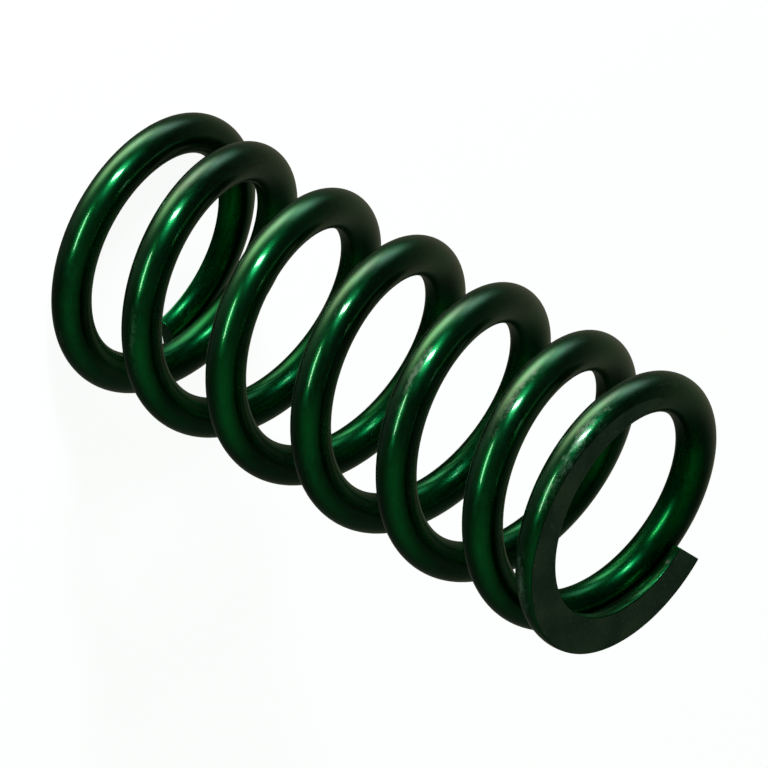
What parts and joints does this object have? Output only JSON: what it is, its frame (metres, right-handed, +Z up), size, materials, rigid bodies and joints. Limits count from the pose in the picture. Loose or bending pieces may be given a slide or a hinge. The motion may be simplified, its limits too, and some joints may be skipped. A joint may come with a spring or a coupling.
{
  "type": "compression coil spring",
  "caption": "Helical compression spring of round wire, wound right-handed, with closed and ground ends and a glossy dark green finish, that shortens between its two flat seats.",
  "frame": {"origin": "centre of the lower ground face, on the axis of the coil", "axes": "+Z up along the axis of the coil, towards the upper ground face; +X through the lower wire tip"},
  "size_m": [0.0896, 0.0896, 0.2005],
  "materials": {
    "green_paint": "glossy translucent dark green over bare steel, rubbed grey in places"
  },
  "bodies": {
    "lower_end_coil": {"lower_end_coil": "green_paint"},
    "open_coil_1_quarter_1": {"open_coil_1_quarter_1": "green_paint"},
    "open_coil_1_quarter_2": {"open_coil_1_quarter_2": "green_paint"},
    "open_coil_1_quarter_3": {"open_coil_1_quarter_3": "green_paint"},
    "open_coil_1_quarter_4": {"open_coil_1_quarter_4": "green_paint"},
    "open_coil_2_quarter_1": {"open_coil_2_quarter_1": "green_paint"},
    "open_coil_2_quarter_2": {"open_coil_2_quarter_2": "green_paint"},
    "open_coil_2_quarter_3": {"open_coil_2_quarter_3": "green_paint"},
    "open_coil_2_quarter_4": {"open_coil_2_quarter_4": "green_paint"},
    "open_coil_3_quarter_1": {"open_coil_3_quarter_1": "green_paint"},
    "open_coil_3_quarter_2": {"open_coil_3_quarter_2": "green_paint"},
    "open_coil_3_quarter_3": {"open_coil_3_quarter_3": "green_paint"},
    "open_coil_3_quarter_4": {"open_coil_3_quarter_4": "green_paint"},
    "open_coil_4_quarter_1": {"open_coil_4_quarter_1": "green_paint"},
    "open_coil_4_quarter_2": {"open_coil_4_quarter_2": "green_paint"},
    "open_coil_4_quarter_3": {"open_coil_4_quarter_3": "green_paint"},
    "open_coil_4_quarter_4": {"open_coil_4_quarter_4": "green_paint"},
    "open_coil_5_quarter_1": {"open_coil_5_quarter_1": "green_paint"},
    "open_coil_5_quarter_2": {"open_coil_5_quarter_2": "green_paint"},
    "upper_end_coil": {"upper_end_coil": "green_paint"}
  },
  "joints": [
    {"name": "compression", "type": "slide", "parent": "lower_end_coil", "child": "open_coil_1_quarter_1", "axis": [0, 0, -1], "range_m": [0, 0.0052], "stiffness_N_per_m": 1820000},
    {"name": "compression_02", "type": "slide", "parent": "open_coil_1_quarter_1", "child": "open_coil_1_quarter_2", "axis": [0, 0, -1], "range_m": [0, 0.0052], "stiffness_N_per_m": 1820000},
    {"name": "compression_03", "type": "slide", "parent": "open_coil_1_quarter_2", "child": "open_coil_1_quarter_3", "axis": [0, 0, -1], "range_m": [0, 0.0052], "stiffness_N_per_m": 1820000},
    {"name": "compression_04", "type": "slide", "parent": "open_coil_1_quarter_3", "child": "open_coil_1_quarter_4", "axis": [0, 0, -1], "range_m": [0, 0.0052], "stiffness_N_per_m": 1820000},
    {"name": "compression_05", "type": "slide", "parent": "open_coil_1_quarter_4", "child": "open_coil_2_quarter_1", "axis": [0, 0, -1], "range_m": [0, 0.0052], "stiffness_N_per_m": 1820000},
    {"name": "compression_06", "type": "slide", "parent": "open_coil_2_quarter_1", "child": "open_coil_2_quarter_2", "axis": [0, 0, -1], "range_m": [0, 0.0052], "stiffness_N_per_m": 1820000},
    {"name": "compression_07", "type": "slide", "parent": "open_coil_2_quarter_2", "child": "open_coil_2_quarter_3", "axis": [0, 0, -1], "range_m": [0, 0.0052], "stiffness_N_per_m": 1820000},
    {"name": "compression_08", "type": "slide", "parent": "open_coil_2_quarter_3", "child": "open_coil_2_quarter_4", "axis": [0, 0, -1], "range_m": [0, 0.0052], "stiffness_N_per_m": 1820000},
    {"name": "compression_09", "type": "slide", "parent": "open_coil_2_quarter_4", "child": "open_coil_3_quarter_1", "axis": [0, 0, -1], "range_m": [0, 0.0052], "stiffness_N_per_m": 1820000},
    {"name": "compression_10", "type": "slide", "parent": "open_coil_3_quarter_1", "child": "open_coil_3_quarter_2", "axis": [0, 0, -1], "range_m": [0, 0.0052], "stiffness_N_per_m": 1820000},
    {"name": "compression_11", "type": "slide", "parent": "open_coil_3_quarter_2", "child": "open_coil_3_quarter_3", "axis": [0, 0, -1], "range_m": [0, 0.0052], "stiffness_N_per_m": 1820000},
    {"name": "compression_12", "type": "slide", "parent": "open_coil_3_quarter_3", "child": "open_coil_3_quarter_4", "axis": [0, 0, -1], "range_m": [0, 0.0052], "stiffness_N_per_m": 1820000},
    {"name": "compression_13", "type": "slide", "parent": "open_coil_3_quarter_4", "child": "open_coil_4_quarter_1", "axis": [0, 0, -1], "range_m": [0, 0.0052], "stiffness_N_per_m": 1820000},
    {"name": "compression_14", "type": "slide", "parent": "open_coil_4_quarter_1", "child": "open_coil_4_quarter_2", "axis": [0, 0, -1], "range_m": [0, 0.0052], "stiffness_N_per_m": 1820000},
    {"name": "compression_15", "type": "slide", "parent": "open_coil_4_quarter_2", "child": "open_coil_4_quarter_3", "axis": [0, 0, -1], "range_m": [0, 0.0052], "stiffness_N_per_m": 1820000},
    {"name": "compression_16", "type": "slide", "parent": "open_coil_4_quarter_3", "child": "open_coil_4_quarter_4", "axis": [0, 0, -1], "range_m": [0, 0.0052], "stiffness_N_per_m": 1820000},
    {"name": "compression_17", "type": "slide", "parent": "open_coil_4_quarter_4", "child": "open_coil_5_quarter_1", "axis": [0, 0, -1], "range_m": [0, 0.0052], "stiffness_N_per_m": 1820000},
    {"name": "compression_18", "type": "slide", "parent": "open_coil_5_quarter_1", "child": "open_coil_5_quarter_2", "axis": [0, 0, -1], "range_m": [0, 0.0052], "stiffness_N_per_m": 1820000},
    {"name": "compression_19", "type": "slide", "parent": "open_coil_5_quarter_2", "child": "upper_end_coil", "axis": [0, 0, -1], "range_m": [0, 0.0052], "stiffness_N_per_m": 1820000}
  ],
  "couplings": [
    {"joint": "compression_02", "follows": "compression", "ratio": 1},
    {"joint": "compression_03", "follows": "compression", "ratio": 1},
    {"joint": "compression_04", "follows": "compression", "ratio": 1},
    {"joint": "compression_05", "follows": "compression", "ratio": 1},
    {"joint": "compression_06", "follows": "compression", "ratio": 1},
    {"joint": "compression_07", "follows": "compression", "ratio": 1},
    {"joint": "compression_08", "follows": "compression", "ratio": 1},
    {"joint": "compression_09", "follows": "compression", "ratio": 1},
    {"joint": "compression_10", "follows": "compression", "ratio": 1},
    {"joint": "compression_11", "follows": "compression", "ratio": 1},
    {"joint": "compression_12", "follows": "compression", "ratio": 1},
    {"joint": "compression_13", "follows": "compression", "ratio": 1},
    {"joint": "compression_14", "follows": "compression", "ratio": 1},
    {"joint": "compression_15", "follows": "compression", "ratio": 1},
    {"joint": "compression_16", "follows": "compression", "ratio": 1},
    {"joint": "compression_17", "follows": "compression", "ratio": 1},
    {"joint": "compression_18", "follows": "compression", "ratio": 1},
    {"joint": "compression_19", "follows": "compression", "ratio": 1}
  ]
}
